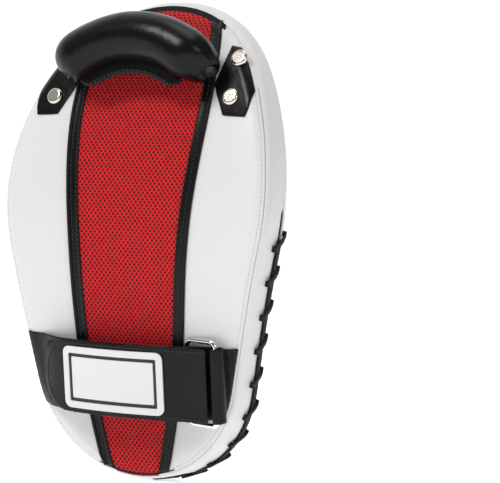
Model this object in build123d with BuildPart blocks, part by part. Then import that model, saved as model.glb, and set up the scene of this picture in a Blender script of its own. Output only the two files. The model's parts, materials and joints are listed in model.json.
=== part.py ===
"""Curved focus mitt: a laced, foam-filled striking pad with a padded hand grip
and a hook-and-loop wrist strap.  Millimetres, +Z up.

Origin: the middle of the back panel, where the forearm lies.
+Z runs along the pad towards the grip, +Y towards the striking face, and +X to
the right as seen by the person who wears it.
"""
import math
import os
from build123d import *

os.makedirs("parts", exist_ok=True)

# The pad's outline, an egg: two arcs above its widest place, then a straight taper
top_height = 188
bottom_height = -204
half_width = 125
widest_z = 27
top_radius = 112
shoulder_radius = 170       # turns the side into the taper
taper_angle = 12            # degrees off upright
before_face_y = 100         # a plane just before the striking face
behind_back_y = -100        # and one behind everything on the back

# Side view
curl_radius = 330           # above the origin the back curls towards the face
lower_back_radius = 480     # below it the back bends gently
lower_back_angle = 7.5      # until it runs straight, this many degrees off upright
straight_run = 190
face_depth = 46             # pad thickness at the origin
face_radius_top = 430       # the striking face is hollow along its length
face_radius_bottom = 590
curl_sweep = 36
face_sweep_top = 27
face_sweep_bottom = 23

# Skins and layers, as depths from the back surface or from the face
leather = 1.4
lining = 0.8
back_foam_depth = 8
board_thickness = 2
front_foam_depth = 13.4
skirt = 6                   # how far the striking cover folds over the edge
foam_inset = 3
board_inset = 14
binding_width = 9
binding_rise = 1.5          # the binding stands proud of the panels
binding_stations = ((28, -212), (44.5, -130), (51.5, -60), (57.5, 20), (64, 98), (60, 150), (42, 205))
lining_margin = 3

# Lacing
lace_width = 6
lace_thickness = 1.6
lace_gap = 5                # opening between the two laced strips
lace_line_share = 0.62      # place of the lacing across the wall, 0 at the back, 1 at the face
lace_top_z = -4
lace_pitch = 28
lace_stations = 11
lace_steps = 3              # short straight runs from one station to the next
lace_clearance = 0.4
laced_top_z = 20
lacing_guides = (40, -30, -100, -160, -224.4)   # heights that the lacing line's curve passes through
laced_end_x = -42
hole_reach = 8              # from the lacing line to each hole
crossing_lead = 6           # how far a crossing climbs along the rim
hole_slack = 0.6
underlay_half = 14
underlay_thickness = 1.2

# Grip
grip_radius = 21
grip_half_span = 67
grip_rise = 28.5            # height of the arch
grip_end_y = 0
grip_end_z = 127
grip_lean = -8              # degrees by which the arch leans, negative towards the back
grip_skin = 1.6
grip_edge = 6
webbing_width = 25
webbing_thickness = 2.4
flange_reach = 9
flange_thickness = 3
flange_short = 14

# Rivets and the tabs that they hold
rivet_x = 84
rivet_heights = (107, 138)
cap_radius = 7.2
cap_height = 3
cap_rounding = 2.5
post_radius = 2.2
washer_radius = 7
washer_thickness = 1.2
washer_seat = 0.1           # keeps the flat washers off the curved board
tab_thickness = 2.6
tab_inset = 1               # keeps a tab off the pad's edge
tab_corners = ((66, 118), (79, 93), (99, 92), (106, 118), (92, 150), (74, 151))

# Wrist strap, seen from above: x and stand-off from the back surface
strap_width = 60
strap_z = -118
strap_skin = 1.8
strap_crown = 19            # stand-off of the lower layer at the middle
arch_radius = 330
arch_angle = 9.07           # to the left of its top
right_arch_angle = 7.85
fall_radius = 70            # left of the arch the strap falls towards the rim
fall_angle = 20
strap_seat = 1.2            # stand-off where it is sewn down
sewn_run = 8
dip_radius = 75             # right of the arch it dips under the ring
dip_angle = 16
level_radius = 57
level_angle = 16
layer_spacing = 4.1         # between the middles of the two layers
pile_thickness = 1.0
pile_width = 50
loop_reach = 40             # how far the loop pile runs from the fall along the arch
hook_reach = 14
tip_angle = 19.5
hook_angle = 15             # the hook pad stops short of the tip
tip_radius = 26
peel_x = 81.5
peel_standoff = 17.4
peel_gap = 0.2

# Ring and its keeper
ring_wire = 2.2
inner_bar = (57, 4.6)       # the bar held by the keeper
outer_bar = (85, 9.0)       # the bar that the strap turns round
ring_length = 68
ring_corner = 5
bar_clearance = 0.3
keeper_skin = 1.8
keeper_width = 56
keeper_end_x = 106
fold_centre = (86.5, 11.2)
fold_radius = 6.2
fold_half_angle = 100

# Label on the strap
label_length = 95
label_height = 51
label_corner = 6
label_border = 5.5
label_x = -3.5
label_backing_thickness = 0.8
label_frame_thickness = 1.1
label_plate_thickness = 0.6
label_plate_margin = 3


def outline_half(inset):
    """Draw the right half of the outline from the top down, drawn in by inset."""
    side_drop = top_height - top_radius - widest_z
    side_radius = (half_width ** 2 + side_drop ** 2 - top_radius ** 2) / (2 * (half_width - top_radius))
    join_angle = math.degrees(math.atan2(side_drop, side_radius - half_width))
    taper = math.radians(taper_angle)
    top = JernArc((0, top_height - inset), (1, 0), top_radius - inset, join_angle - 90)
    flank = JernArc(top @ 1, top % 1, side_radius - inset, -join_angle)
    shoulder = JernArc(flank @ 1, flank % 1, shoulder_radius - inset, -taper_angle)
    start = shoulder @ 1
    wall_distance = start.X * math.cos(taper) - start.Y * math.sin(taper)
    bottom = bottom_height + inset
    bottom_centre = (bottom + wall_distance) / (1 - math.sin(taper))
    bottom_radius = bottom_centre - bottom
    end = (bottom_radius * math.cos(taper), bottom_centre - bottom_radius * math.sin(taper))
    side = Line(start, end)
    JernArc(side @ 1, side % 1, bottom_radius, taper_angle - 90)


def fill_outline(inset, mode=Mode.ADD):
    """The whole space inside the outline, from behind the back to past the face."""
    with BuildSketch(Plane.XZ.offset(-before_face_y)) as outline:
        with BuildLine():
            outline_half(inset)
            mirror(about=Plane.YZ)
        make_face()
    extrude(outline.sketch, amount=before_face_y - behind_back_y, mode=mode)


def on_arc(centre_y, radius, degrees):
    """A point of the side view on an arc about (centre_y, 0); 0 degrees is its back."""
    turn = math.radians(degrees)
    return (centre_y - radius * math.cos(turn), radius * math.sin(turn))


def back_line(depth):
    """Draw the back surface in the side view, depth inside the pad; give its two ends."""
    upper = curl_radius - depth
    lower = lower_back_radius - depth
    top = on_arc(curl_radius, upper, curl_sweep)
    ThreePointArc(top, on_arc(curl_radius, upper, curl_sweep / 2), (depth, 0))
    bend_middle = on_arc(lower_back_radius, lower, -lower_back_angle / 2)
    bend_end = on_arc(lower_back_radius, lower, -lower_back_angle)
    ThreePointArc((depth, 0), bend_middle, bend_end)
    turn = math.radians(lower_back_angle)
    bottom = (bend_end[0] + straight_run * math.sin(turn), bend_end[1] - straight_run * math.cos(turn))
    Line(bend_end, bottom)
    return top, bottom


def face_line(depth):
    """Draw the striking face in the side view, depth inside the pad; give its two ends."""
    upper = face_radius_top + depth
    lower = face_radius_bottom + depth
    upper_centre = face_depth + face_radius_top
    lower_centre = face_depth + face_radius_bottom
    top = on_arc(upper_centre, upper, face_sweep_top)
    bottom = on_arc(lower_centre, lower, -face_sweep_bottom)
    ThreePointArc(top, on_arc(upper_centre, upper, face_sweep_top / 2), (face_depth - depth, 0))
    ThreePointArc((face_depth - depth, 0), on_arc(lower_centre, lower, -face_sweep_bottom / 2), bottom)
    return top, bottom


def back_y(z):
    """Depth of the back surface at height z."""
    if z >= 0:
        return curl_radius - math.sqrt(curl_radius ** 2 - z ** 2)
    turn = math.radians(lower_back_angle)
    bend_z = -lower_back_radius * math.sin(turn)
    if z >= bend_z:
        return lower_back_radius - math.sqrt(lower_back_radius ** 2 - z ** 2)
    return lower_back_radius * (1 - math.cos(turn)) + (bend_z - z) * math.tan(turn)


def face_y(z):
    """Depth of the striking face at height z."""
    radius = face_radius_top if z >= 0 else face_radius_bottom
    return face_depth + radius - math.sqrt(radius ** 2 - z ** 2)


def lacing_y(z):
    """Depth of the lacing line across the side wall at height z."""
    return back_y(z) + lace_line_share * (face_y(z) - back_y(z))


def lacing_line(shift):
    """Draw the lacing line in the side view, moved towards the face by shift."""
    points = [(lacing_y(z) + shift, z) for z in lacing_guides]
    Spline(*points)
    top = (back_y(top_height) + lace_width + shift, top_height)
    Line(points[0], top)
    return top, points[-1]


def keep_between(first_line, first_depth, second_line, second_depth):
    """Keep what lies between two lines of the side view."""
    with BuildSketch(Plane.YZ) as section:
        with BuildLine():
            first_top, first_bottom = first_line(first_depth)
            second_top, second_bottom = second_line(second_depth)
            Line(first_top, second_top)
            Line(first_bottom, second_bottom)
        make_face()
    extrude(section.sketch, amount=2 * half_width, both=True, mode=Mode.INTERSECT)


def central_panel(narrower, mode):
    """Keep or remove the central panel's region of the back, its edges moved in by narrower."""
    with BuildSketch(Plane.XZ.offset(-before_face_y)) as region:
        with BuildLine():
            side = Spline(*[(x - narrower, z) for x, z in binding_stations])
            mirror(about=Plane.YZ)
            Line(side @ 0, (-(side @ 0).X, (side @ 0).Y))
            Line(side @ 1, (-(side @ 1).X, (side @ 1).Y))
        make_face()
    extrude(region.sketch, amount=2 * before_face_y, mode=mode)


def keep_side(side):
    """Keep the right half of a part (side = 1) or the left half (side = -1)."""
    with BuildSketch(Plane.YZ) as middle:
        Rectangle(6 * half_width, 6 * half_width)
    extrude(middle.sketch, amount=2 * side * half_width, mode=Mode.INTERSECT)


def surface_plane(x, z):
    """A plane on the upper back surface whose normal points away from the pad."""
    lean = math.asin(z / curl_radius)
    return Plane(origin=(x, back_y(z), z), x_dir=(1, 0, 0), z_dir=(0, -math.cos(lean), math.sin(lean)))


rivet_planes = [surface_plane(side * rivet_x, z) for side in (-1, 1) for z in rivet_heights]


def rivet_discs(radius, from_height, to_height, mode=Mode.ADD):
    """Add or cut a disc at each rivet, between two heights above the back surface."""
    for plane in rivet_planes:
        with BuildSketch(plane.offset(from_height)) as disc:
            Circle(radius)
        extrude(disc.sketch, amount=to_height - from_height, mode=mode)


def finish(piece, label):
    """Name a finished piece and write it."""
    piece.part.label = label
    export_step(piece.part, "parts/" + label + ".step")


# Foam core and board
board_depth = back_foam_depth + board_thickness
rivet_depth = board_depth + washer_seat + washer_thickness

with BuildPart() as back_foam:
    fill_outline(foam_inset)
    keep_between(back_line, leather + lining, back_line, back_foam_depth)
    rivet_discs(post_radius, -2 * rivet_depth, rivet_depth, Mode.SUBTRACT)
finish(back_foam, "back_foam")

with BuildPart() as stiffener_board:
    fill_outline(board_inset)
    keep_between(back_line, back_foam_depth, back_line, board_depth)
    rivet_discs(post_radius, -2 * rivet_depth, rivet_depth, Mode.SUBTRACT)
finish(stiffener_board, "stiffener_board")

with BuildPart() as middle_foam:
    fill_outline(foam_inset)
    keep_between(back_line, board_depth, face_line, front_foam_depth)
    rivet_discs(washer_radius, -rivet_depth, rivet_depth, Mode.SUBTRACT)
finish(middle_foam, "middle_foam")

with BuildPart() as front_foam:
    fill_outline(foam_inset)
    keep_between(face_line, front_foam_depth, face_line, leather)
finish(front_foam, "front_foam")

# Striking cover: the leather face and the skirt that folds over the edge
with BuildPart() as under_cover:
    fill_outline(leather)
    keep_between(face_line, 2 * skirt, face_line, leather)

with BuildPart() as striking_cover:
    fill_outline(0)
    keep_between(face_line, skirt, face_line, 0)
    add(under_cover.part, mode=Mode.SUBTRACT)
finish(striking_cover, "striking_cover")

# Side wall, closed above and on the left, laced on the lower right
with BuildPart() as inside_wall:
    fill_outline(leather)


def laced_zone(mode):
    """Keep or remove the lower right of the wall, where it is laced."""
    with Locations((laced_end_x, 0, laced_top_z)):
        Box(4 * half_width, 4 * half_width, 4 * half_width, align=(Align.MIN, Align.CENTER, Align.MAX), mode=mode)


with BuildLine() as rim_line:
    outline_half(0)
rim = rim_line.wires()[0]
lace_start = next(run for run in range(int(rim.length)) if rim.position_at(run / rim.length).Y < lace_top_z)


def rim_place(run, across, outward):
    """A point on the wall: run mm along the rim from the first station, across mm
    from the lacing line towards the face, outward mm off the leather."""
    travelled = lace_start + run
    past_bottom = travelled > rim.length
    share = (2 * rim.length - travelled if past_bottom else travelled) / rim.length
    side = -1 if past_bottom else 1
    spot = rim.position_at(share)
    along = rim.tangent_at(share)
    normal = Vector(-side * along.Y, 0, along.X)
    return Vector(side * spot.X, lacing_y(spot.Y) + across, spot.Y) + normal * outward, normal


def hole_plane(station, side):
    """The plane of a lace hole; side is -1 for the back strip, 1 for the face strip."""
    spot, normal = rim_place(station * lace_pitch - side * crossing_lead, side * hole_reach, 0)
    return Plane(origin=spot, x_dir=(0, 1, 0), z_dir=normal)


def punch_holes(side):
    """Punch one strip's lace holes."""
    for station in range(lace_stations):
        with BuildSketch(hole_plane(station, side)) as slot:
            Rectangle(lace_thickness + hole_slack, lace_width + hole_slack)
        extrude(slot.sketch, amount=4 * leather, both=True, mode=Mode.SUBTRACT)


with BuildPart() as side_wall:
    fill_outline(0)
    keep_between(back_line, leather, face_line, skirt)
    add(inside_wall.part, mode=Mode.SUBTRACT)
    laced_zone(Mode.SUBTRACT)
finish(side_wall, "side_wall")

with BuildPart() as wall_back_strip:
    fill_outline(0)
    keep_between(back_line, leather, lacing_line, -lace_gap / 2)
    add(inside_wall.part, mode=Mode.SUBTRACT)
    laced_zone(Mode.INTERSECT)
    punch_holes(-1)
finish(wall_back_strip, "wall_back_strip")

with BuildPart() as wall_face_strip:
    fill_outline(0)
    keep_between(lacing_line, lace_gap / 2, face_line, skirt)
    add(inside_wall.part, mode=Mode.SUBTRACT)
    laced_zone(Mode.INTERSECT)
    punch_holes(1)
finish(wall_face_strip, "wall_face_strip")

with BuildPart() as inside_underlay:
    fill_outline(leather + underlay_thickness)

with BuildPart() as lacing_underlay:
    fill_outline(leather)
    keep_between(lacing_line, -underlay_half, lacing_line, underlay_half)
    add(inside_underlay.part, mode=Mode.SUBTRACT)
    laced_zone(Mode.INTERSECT)
finish(lacing_underlay, "lacing_underlay")


def lace_run(start, end, normal, width):
    """One flat straight run of lace between two points."""
    along = end - start
    plane = Plane(origin=(start + end) / 2, x_dir=along, z_dir=normal)
    with BuildSketch(plane) as strip:
        Rectangle(along.length + lace_thickness, width)
    extrude(strip.sketch, amount=lace_thickness / 2, both=True)


with BuildPart() as lace:
    band_height = lace_clearance + lace_thickness / 2
    step = lace_pitch / lace_steps
    for index in range((lace_stations - 1) * lace_steps):
        start, start_normal = rim_place(index * step, 0, band_height)
        end, end_normal = rim_place((index + 1) * step, 0, band_height)
        lace_run(start, end, (start_normal + end_normal) / 2, lace_width)
    crossing_height = band_height + lace_thickness
    for station in range(lace_stations):
        spots = []
        for side in (-1, 1):
            place = rim_place(station * lace_pitch - side * crossing_lead, side * hole_reach, crossing_height)
            spots.append(place[0])
            with BuildSketch(hole_plane(station, side).offset(-leather)):
                Rectangle(lace_thickness, lace_width - 1)
            extrude(amount=leather + crossing_height + lace_thickness / 2)
        lace_run(spots[0], spots[1], rim_place(station * lace_pitch, 0, 0)[1], lace_width - 1)
finish(lace, "lace")

# Back panels, bindings and the mesh between them
sides = (("left", -1), ("right", 1))
for name, side in sides:
    with BuildPart() as back_panel:
        fill_outline(0)
        keep_between(back_line, 0, back_line, leather)
        keep_side(side)
        central_panel(0, Mode.SUBTRACT)
        rivet_discs(post_radius, -rivet_depth, rivet_depth, Mode.SUBTRACT)
    finish(back_panel, "back_panel_" + name)

    with BuildPart() as binding:
        fill_outline(0)
        keep_between(back_line, -binding_rise, back_line, leather)
        keep_side(side)
        central_panel(0, Mode.INTERSECT)
        central_panel(binding_width, Mode.SUBTRACT)
    finish(binding, "binding_" + name)

with BuildPart() as mesh_panel:
    fill_outline(0)
    keep_between(back_line, 0, back_line, leather)
    central_panel(binding_width, Mode.INTERSECT)
finish(mesh_panel, "mesh_panel")

with BuildPart() as mesh_lining:
    fill_outline(foam_inset)
    keep_between(back_line, leather, back_line, leather + lining)
    central_panel(-lining_margin, Mode.INTERSECT)
finish(mesh_lining, "mesh_lining")

# Grip: a padded roll on webbing, arched across the back
grip_turn = math.radians(grip_lean)
grip_plane = Plane(
    origin=(0, grip_end_y, grip_end_z),
    x_dir=(1, 0, 0),
    z_dir=(0, -math.cos(grip_turn), -math.sin(grip_turn)),
)
grip_path_radius = (grip_half_span ** 2 + grip_rise ** 2) / (2 * grip_rise)
grip_half_angle = math.degrees(math.asin(grip_half_span / grip_path_radius))


def grip_path(shorter):
    """The grip's middle line, its ends drawn in by shorter."""
    half = grip_half_angle - math.degrees(shorter / grip_path_radius)
    with BuildLine(grip_plane) as path:
        CenterArc((0, grip_rise - grip_path_radius), grip_path_radius, 90 - half, 2 * half)
    return path.line


def section_plane(path):
    """The plane across the start of the grip's line, x pointing away from the arch's centre."""
    start = path @ 0
    centre = grip_plane.from_local_coords((0, grip_rise - grip_path_radius, 0))
    return Plane(origin=start, x_dir=start - centre, z_dir=path % 0)


def round_ended_roll(inset):
    """Sweep the grip's roll, its whole surface drawn in by inset."""
    path = grip_path(inset)
    with BuildSketch(section_plane(path)) as section:
        Circle(grip_radius - inset)
    sweep(section.sketch, path=path)


def end_edges(roll):
    """The two round edges at the roll's ends."""
    return roll.faces().filter_by(GeomType.PLANE).edges().filter_by(GeomType.CIRCLE)


with BuildPart() as grip_hollow:
    round_ended_roll(grip_skin)
    fillet(end_edges(grip_hollow), grip_edge - grip_skin)

with BuildPart() as grip_cover:
    round_ended_roll(0)
    fillet(end_edges(grip_cover), grip_edge)
    add(grip_hollow.part, mode=Mode.SUBTRACT)
finish(grip_cover, "grip_cover")

with BuildPart() as webbing_hollow:
    path = grip_path(0)
    with BuildSketch(section_plane(path)):
        Rectangle(webbing_thickness, webbing_width)
    sweep(path=path)

with BuildPart() as grip_core:
    add(grip_hollow.part)
    add(webbing_hollow.part, mode=Mode.SUBTRACT)
finish(grip_core, "grip_core")

with BuildPart() as grip_webbing:
    path = grip_path(grip_skin)
    with BuildSketch(section_plane(path)):
        Rectangle(webbing_thickness, webbing_width)
    sweep(path=path)
finish(grip_webbing, "grip_webbing")

with BuildPart() as grip_flange:
    path = grip_path(flange_short)
    with BuildSketch(section_plane(path)):
        with Locations((-grip_radius - flange_reach / 2, 0)):
            Rectangle(flange_reach, flange_thickness)
        Circle(grip_radius, mode=Mode.SUBTRACT)
    sweep(path=path)
finish(grip_flange, "grip_flange")

# Tabs and rivets
for name, side in sides:
    with BuildPart() as grip_tab:
        fill_outline(tab_inset)
        keep_between(back_line, -tab_thickness, back_line, 0)
        with BuildSketch(Plane.XZ.offset(-before_face_y)):
            Polygon(*[(side * x, z) for x, z in tab_corners], align=None)
        extrude(amount=2 * before_face_y, mode=Mode.INTERSECT)
        rivet_discs(post_radius, -rivet_depth, rivet_depth, Mode.SUBTRACT)
    finish(grip_tab, "grip_tab_" + name)

with BuildPart() as rivet_caps:
    rivet_discs(cap_radius, tab_thickness, tab_thickness + cap_height)
    for plane in rivet_planes:
        rim_edges = rivet_caps.edges().filter_by(GeomType.CIRCLE)
        top_edge = rim_edges.sort_by_distance(plane.offset(tab_thickness + cap_height).origin)[0]
        fillet(top_edge, cap_rounding)
finish(rivet_caps, "rivet_caps")

with BuildPart() as rivet_posts:
    rivet_discs(post_radius, -rivet_depth, tab_thickness)
finish(rivet_posts, "rivet_posts")

with BuildPart() as rivet_washers:
    rivet_discs(washer_radius, -rivet_depth, -board_depth - washer_seat)
    rivet_discs(post_radius, -2 * rivet_depth, 0, Mode.SUBTRACT)
finish(rivet_washers, "rivet_washers")

# Wrist strap.  Its plane looks down the strap's edge: x to the right, y away from the back.
strap_turn = math.radians(lower_back_angle)
strap_origin = (0, back_y(strap_z), strap_z)
strap_plane = Plane(
    origin=strap_origin, x_dir=(1, 0, 0), z_dir=(0, math.sin(strap_turn), -math.cos(strap_turn))
)
strap_front = Plane(
    origin=strap_origin, x_dir=(1, 0, 0), z_dir=(0, -math.cos(strap_turn), -math.sin(strap_turn))
)
arch_centre = (0, strap_crown - arch_radius)


def arch_point(shift, degrees):
    """A point of the arched middle, degrees to the right of its top."""
    turn = math.radians(degrees)
    return ((arch_radius + shift) * math.sin(turn), arch_centre[1] + (arch_radius + shift) * math.cos(turn))


def left_run(shift, arch_from, fall_to):
    """Draw a layer of the strap, shift mm outside the lower layer's middle, from
    arch_from degrees on the arch to the left, down fall_to degrees of the fall."""
    CenterArc(arch_centre, arch_radius + shift, 90 - arch_from, arch_from + arch_angle)
    turn = math.radians(arch_angle)
    tangent = (-math.cos(turn), -math.sin(turn))
    return JernArc(arch_point(shift, -arch_angle), tangent, fall_radius + shift, fall_to)


def round_tip(tip_x, width, radius):
    """Trim a layer of the strap to its width and round its free end at tip_x."""
    with BuildSketch(strap_front) as window:
        with Locations((tip_x, 0)):
            RectangleRounded(4 * half_width, width, radius, align=(Align.MIN, Align.CENTER))
    extrude(window.sketch, amount=2 * strap_width, mode=Mode.INTERSECT)


with BuildPart() as strap_lower:
    with BuildSketch(strap_plane):
        with BuildLine():
            fall = left_run(0, right_arch_angle, fall_angle)
            landing_angle = arch_angle + fall_angle
            landing_radius = ((fall @ 1).Y - strap_seat) / (1 - math.cos(math.radians(landing_angle)))
            landing = JernArc(fall @ 1, fall % 1, landing_radius, -landing_angle)
            Line(landing @ 1, landing @ 1 + (-sewn_run, 0))
            dip_start = math.radians(right_arch_angle)
            dip_tangent = (math.cos(dip_start), -math.sin(dip_start))
            dip = JernArc(arch_point(0, right_arch_angle), dip_tangent, dip_radius, -dip_angle)
            JernArc(dip @ 1, dip % 1, level_radius, level_angle)
        trace(line_width=strap_skin)
    extrude(amount=strap_width / 2, both=True)
    fill_outline(0, Mode.INTERSECT)
finish(strap_lower, "strap_lower")

with BuildPart() as loop_pad:
    with BuildSketch(strap_plane):
        with BuildLine():
            loop_shift = (strap_skin + pile_thickness) / 2
            left_run(loop_shift, math.degrees(loop_reach / arch_radius) - arch_angle, fall_angle)
        trace(line_width=pile_thickness)
    extrude(amount=pile_width / 2, both=True)
finish(loop_pad, "loop_pad")

with BuildPart() as hook_pad:
    with BuildSketch(strap_plane):
        with BuildLine():
            hook_shift = layer_spacing - (strap_skin + pile_thickness) / 2
            hook_tip = left_run(hook_shift, math.degrees(hook_reach / arch_radius) - arch_angle, hook_angle)
        trace(line_width=pile_thickness)
    extrude(amount=strap_width / 2, both=True)
    round_tip((hook_tip @ 1).X, pile_width, tip_radius - (strap_width - pile_width) / 2)
finish(hook_pad, "hook_pad")

with BuildPart() as strap_upper:
    with BuildSketch(strap_plane):
        with BuildLine():
            strap_tip = left_run(layer_spacing, right_arch_angle, tip_angle)
            turn = math.radians(right_arch_angle)
            arch_end = arch_point(layer_spacing, right_arch_angle)
            TangentArc(arch_end, (peel_x - peel_gap, peel_standoff), tangent=(math.cos(turn), -math.sin(turn)))
        trace(line_width=strap_skin)
    extrude(amount=strap_width, both=True)
    round_tip((strap_tip @ 1).X, strap_width, tip_radius)
finish(strap_upper, "strap_upper")

with BuildPart() as strap_fold:
    with BuildSketch(strap_plane):
        with BuildLine():
            CenterArc(fold_centre, fold_radius, -fold_half_angle, 2 * fold_half_angle)
        trace(line_width=strap_skin)
    extrude(amount=strap_width / 2, both=True)
finish(strap_fold, "strap_fold")

# Ring and keeper
ring_across = Vector(outer_bar[0] - inner_bar[0], outer_bar[1] - inner_bar[1], 0)
ring_middle = strap_plane.from_local_coords(
    ((inner_bar[0] + outer_bar[0]) / 2, (inner_bar[1] + outer_bar[1]) / 2, 0)
)
ring_x_dir = strap_plane.from_local_coords(ring_across) - strap_plane.origin
ring_plane = Plane(origin=ring_middle, x_dir=ring_x_dir, z_dir=ring_x_dir.cross(strap_plane.z_dir))

with BuildPart() as ring:
    with BuildLine(ring_plane):
        half_x = ring_across.length / 2
        half_z = ring_length / 2
        corners = [(half_x, half_z), (-half_x, half_z), (-half_x, -half_z), (half_x, -half_z)]
        loop = FilletPolyline(*corners, radius=ring_corner, close=True)
    wire_start = loop @ 0
    with BuildSketch(Plane(origin=wire_start, z_dir=loop % 0)):
        Circle(ring_wire)
    sweep(path=loop)
finish(ring, "ring")

with BuildPart() as ring_keeper:
    with BuildSketch(strap_plane):
        loop_radius = ring_wire + bar_clearance + keeper_skin
        with Locations(inner_bar):
            Circle(loop_radius)
        with Locations((inner_bar[0], inner_bar[1] - loop_radius)):
            Rectangle(keeper_end_x - inner_bar[0], 2 * keeper_skin, align=Align.MIN)
        with Locations(inner_bar):
            Circle(ring_wire + bar_clearance, mode=Mode.SUBTRACT)
    extrude(amount=keeper_width / 2, both=True)
    fill_outline(0, Mode.INTERSECT)
finish(ring_keeper, "ring_keeper")


def label_layer(height, thickness, mode=Mode.ADD):
    """A curved layer of the label, its underside height mm above the strap's skin."""
    shift = layer_spacing + strap_skin / 2 + height + thickness / 2
    with BuildSketch(strap_plane) as layer:
        with BuildLine():
            left_run(shift, arch_angle, fall_angle / 2)
        trace(line_width=thickness)
    extrude(layer.sketch, amount=label_height, both=True, mode=mode)


def label_window(inset, mode):
    """Keep or cut the label's rounded rectangle, drawn in by inset."""
    corner = max(label_corner - inset, 1)
    with BuildSketch(strap_front) as window:
        with Locations((label_x, 0)):
            RectangleRounded(label_length - 2 * inset, label_height - 2 * inset, corner)
    extrude(window.sketch, amount=2 * strap_width, mode=mode)


with BuildPart() as label_backing:
    label_layer(0, label_backing_thickness)
    label_window(0, Mode.INTERSECT)
finish(label_backing, "label_backing")

with BuildPart() as label_frame:
    label_layer(label_backing_thickness, label_frame_thickness)
    label_window(0, Mode.INTERSECT)
    label_window(label_border, Mode.SUBTRACT)
finish(label_frame, "label_frame")

with BuildPart() as label_plate:
    label_layer(label_backing_thickness, label_plate_thickness)
    label_window(label_border + label_plate_margin, Mode.INTERSECT)
finish(label_plate, "label_plate")
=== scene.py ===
import json
import math
import bmesh
import bpy
import numpy as np
from mathutils import Matrix, Vector, noise
from mathutils.bvhtree import BVHTree
from mathutils.kdtree import KDTree


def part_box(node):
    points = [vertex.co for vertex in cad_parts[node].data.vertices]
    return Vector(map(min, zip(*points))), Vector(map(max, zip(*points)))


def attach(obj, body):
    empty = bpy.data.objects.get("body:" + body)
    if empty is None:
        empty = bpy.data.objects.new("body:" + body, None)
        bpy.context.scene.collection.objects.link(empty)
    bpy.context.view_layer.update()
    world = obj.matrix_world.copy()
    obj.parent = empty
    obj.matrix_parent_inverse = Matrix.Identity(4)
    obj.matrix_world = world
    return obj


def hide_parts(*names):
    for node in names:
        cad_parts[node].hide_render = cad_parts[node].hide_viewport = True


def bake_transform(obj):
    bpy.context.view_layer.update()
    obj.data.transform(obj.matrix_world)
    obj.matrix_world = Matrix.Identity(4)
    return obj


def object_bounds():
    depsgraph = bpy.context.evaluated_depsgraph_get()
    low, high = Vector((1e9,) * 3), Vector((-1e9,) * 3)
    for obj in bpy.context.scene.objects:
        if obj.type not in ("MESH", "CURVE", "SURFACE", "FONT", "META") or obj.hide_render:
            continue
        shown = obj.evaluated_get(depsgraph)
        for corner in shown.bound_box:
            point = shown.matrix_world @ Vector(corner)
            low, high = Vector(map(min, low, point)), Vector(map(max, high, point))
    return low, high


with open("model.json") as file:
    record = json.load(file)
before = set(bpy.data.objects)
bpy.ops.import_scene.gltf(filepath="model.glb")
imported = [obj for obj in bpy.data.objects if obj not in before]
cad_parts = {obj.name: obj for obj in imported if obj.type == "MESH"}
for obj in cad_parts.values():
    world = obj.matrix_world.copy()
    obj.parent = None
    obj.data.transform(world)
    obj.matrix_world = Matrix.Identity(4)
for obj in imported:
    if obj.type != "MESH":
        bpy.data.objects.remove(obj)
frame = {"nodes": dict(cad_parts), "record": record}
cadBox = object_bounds()
collection = bpy.context.scene.collection
print("frame loaded")

# the pad's own lines, in metres, as the CAD draws them
pad = {
    "top": 0.188, "bottom": -0.204, "halfWidth": 0.125, "widest": 0.027, "topRadius": 0.112,
    "shoulderRadius": 0.170, "taper": 12, "curl": 0.330, "lowerBack": 0.480, "lowerAngle": 7.5,
    "thickness": 0.046, "faceTop": 0.430, "faceBottom": 0.590, "leather": 0.0014, "skirt": 0.006,
}
soft = {
    "backReach": 0.011,     # how far in from the rim the back's rounding starts
    "backDropLow": 0.006,   # its depth at the bottom
    "backDropHigh": 0.013,  # and at the top
    "faceReach": 0.017,
    "faceDrop": 0.015,
    "wallBulge": 0.0012,
}


# points round the outline from the top, clockwise seen from behind, and the way out at each
def outlineLoop(count):
    p = pad
    drop = p["top"] - p["topRadius"] - p["widest"]
    side = (p["halfWidth"] ** 2 + drop ** 2 - p["topRadius"] ** 2) / (2 * (p["halfWidth"] - p["topRadius"]))
    join = math.atan2(drop, side - p["halfWidth"])
    taper = math.radians(p["taper"])
    arcs = [((0, p["top"] - p["topRadius"]), p["topRadius"], math.pi / 2, join)]
    arcs.append(((p["halfWidth"] - side, p["widest"]), side, join, 0))
    middle = (p["halfWidth"] - p["shoulderRadius"], p["widest"])
    arcs.append((middle, p["shoulderRadius"], 0, -taper))
    away = (middle[0] + p["shoulderRadius"] * math.cos(taper)) * math.cos(taper)
    away -= (middle[1] - p["shoulderRadius"] * math.sin(taper)) * math.sin(taper)
    centre = (p["bottom"] + away) / (1 - math.sin(taper))
    arcs.append(((0, centre), centre - p["bottom"], -taper, -math.pi / 2))
    half = []
    for (cx, cz), radius, first, last in arcs:
        for a in np.linspace(first, last, 90):
            half.append((cx + radius * math.cos(a), cz + radius * math.sin(a)))
    half = np.array(half)
    loop = np.vstack([half, half[::-1][1:-1] * (-1, 1)])
    closed = np.vstack([loop, loop[:1]])
    length = np.concatenate([[0], np.cumsum(np.linalg.norm(np.diff(closed, axis=0), axis=1))])
    at = np.linspace(0, length[-1], count, endpoint=False)
    points = np.stack([np.interp(at, length, closed[:, i]) for i in (0, 1)], axis=1)
    along = np.roll(points, -1, axis=0) - np.roll(points, 1, axis=0)
    along /= np.linalg.norm(along, axis=1)[:, None]
    return points, np.stack([-along[:, 1], along[:, 0]], axis=1)


rimPoints, rimOut = outlineLoop(2400)
rimTree = KDTree(len(rimPoints))
for index, (x, z) in enumerate(rimPoints):
    rimTree.insert((x, 0, z), index)
rimTree.balance()


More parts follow.
